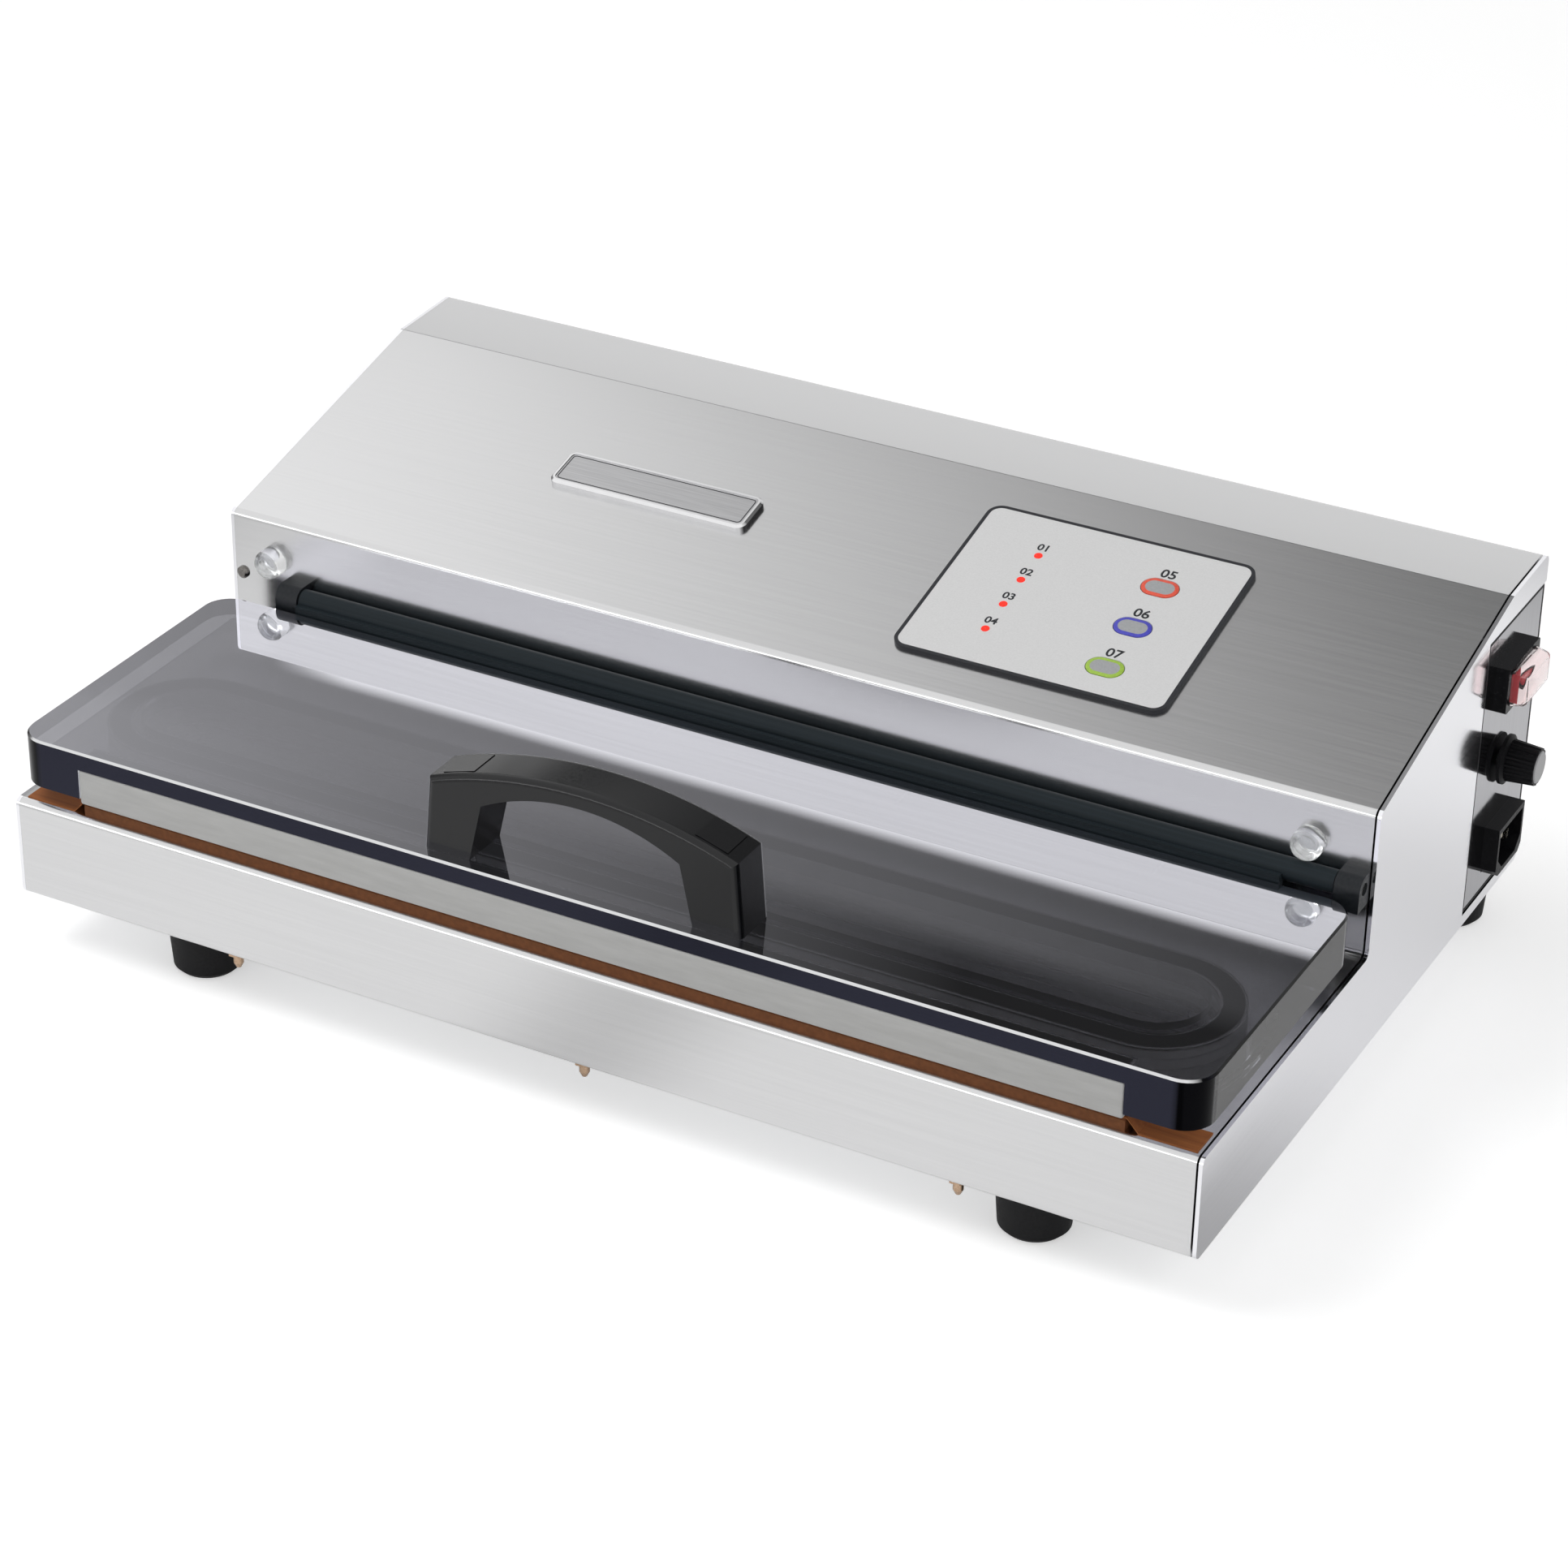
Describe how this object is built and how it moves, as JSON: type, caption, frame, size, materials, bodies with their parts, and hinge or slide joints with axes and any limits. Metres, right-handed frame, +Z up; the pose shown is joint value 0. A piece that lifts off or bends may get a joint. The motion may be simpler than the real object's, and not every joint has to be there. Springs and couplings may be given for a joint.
{
  "type": "vacuum sealer",
  "caption": "Countertop vacuum sealer: folded steel housing with a low deck and sloped keypad, and a thick hinged clear lid with a bow handle.",
  "frame": {"origin": "centre of the bounding box's base, on the plane of the foot bottoms", "axes": "+X to the side with the mains inlet, +Y to the back, +Z up"},
  "size_m": [0.5102, 0.315, 0.1564],
  "materials": {
    "steel_cover": "polished",
    "steel_plate": "satin",
    "zinc_steel": "zinc plated",
    "clear_lid": "polished, clear grey",
    "clear_rubber": "clear",
    "pad_silicone": "satin",
    "gasket_foam": "matte",
    "foot_rubber": "matte",
    "handle_plastic": "fine grain",
    "hinge_aluminium": "black anodised",
    "block_plastic": "matte",
    "bar_insulator": "matte",
    "ribbon_alloy": "bright",
    "tape_brown": "woven, coated",
    "overlay_print": "fine texture",
    "button_red": "fine texture",
    "button_blue": "fine texture",
    "button_green": "fine texture",
    "light_red": "clear red",
    "badge_bright": "polished",
    "badge_face": "satin",
    "switch_black": "gloss",
    "rocker_red": "gloss",
    "knob_black": "satin",
    "knob_grey": "satin",
    "contact_brass": "nickel plated",
    "pump_alloy": "cast",
    "motor_paint": "satin",
    "core_iron": "lacquered",
    "coil_wrap": "tape wrapped",
    "board_green": "lacquered",
    "hose_silicone": "translucent"
  },
  "bodies": {
    "housing": {"main_cover": "steel_cover", "side_panel_left": "steel_cover", "side_panel_right": "steel_cover", "base_plate": "steel_plate", "control_plate": "steel_plate", "feet": "foot_rubber", "foot_screws": "zinc_steel", "lower_gasket": "gasket_foam", "vacuum_trough": "steel_plate", "vacuum_port": "contact_brass", "seal_bar": "bar_insulator", "heating_ribbon": "ribbon_alloy", "seal_tape": "tape_brown", "seal_bar_studs": "zinc_steel", "stud_nuts": "zinc_steel", "pivot_block_left": "block_plastic", "pivot_block_right": "block_plastic", "hinge_shaft": "zinc_steel", "lid_bumpers": "clear_rubber", "face_screw": "zinc_steel", "keypad_overlay": "overlay_print", "status_lights": "light_red", "badge_frame": "badge_bright", "badge_insert": "badge_face", "switch_frame": "switch_black", "switch_hood": "clear_rubber", "potentiometer": "zinc_steel", "inlet_socket": "switch_black", "inlet_blades": "contact_brass", "vacuum_pump": "pump_alloy", "pump_motor": "motor_paint", "transformer_core": "core_iron", "transformer_coil": "coil_wrap", "control_board": "board_green", "board_posts": "contact_brass", "release_valve": "motor_paint", "vacuum_hose": "hose_silicone", "pump_hose": "hose_silicone"},
    "lid": {"lid_panel": "clear_lid", "seal_pad": "pad_silicone", "upper_gasket": "gasket_foam", "hinge_bar": "hinge_aluminium", "hinge_bar_screws": "zinc_steel", "handle": "handle_plastic", "handle_caps": "handle_plastic", "handle_screws": "zinc_steel"},
    "rocker": {"switch_rocker": "rocker_red"},
    "dial": {"time_knob": "knob_black", "knob_cap": "knob_grey", "knob_spindle": "zinc_steel"},
    "button_start": {"start_button": "button_green"},
    "button_seal": {"seal_button": "button_blue"},
    "button_stop": {"stop_button": "button_red"}
  },
  "joints": [
    {"name": "lid_hinge", "type": "hinge", "parent": "housing", "child": "lid", "pos_m": [0, -0.0136, 0.0952], "axis": [-1, 0, 0], "range_deg": [0, 95]},
    {"name": "rocker_tilt", "type": "hinge", "parent": "housing", "child": "rocker", "pos_m": [0.2407, 0.125, 0.1198], "axis": [0, 0, -1], "range_deg": [0, 16]},
    {"name": "dial_turn", "type": "hinge", "parent": "housing", "child": "dial", "pos_m": [0.2395, 0.1265, 0.082], "axis": [1, 0, 0], "range_deg": [-150, 150]},
    {"name": "start_press", "type": "slide", "parent": "housing", "child": "button_start", "axis": [0, 0.2363, -0.9717], "range_m": [0, 0.0005], "stiffness_N_per_m": 400},
    {"name": "seal_press", "type": "slide", "parent": "housing", "child": "button_seal", "axis": [0, 0.2363, -0.9717], "range_m": [0, 0.0005], "stiffness_N_per_m": 400},
    {"name": "stop_press", "type": "slide", "parent": "housing", "child": "button_stop", "axis": [0, 0.2363, -0.9717], "range_m": [0, 0.0005], "stiffness_N_per_m": 400}
  ]
}
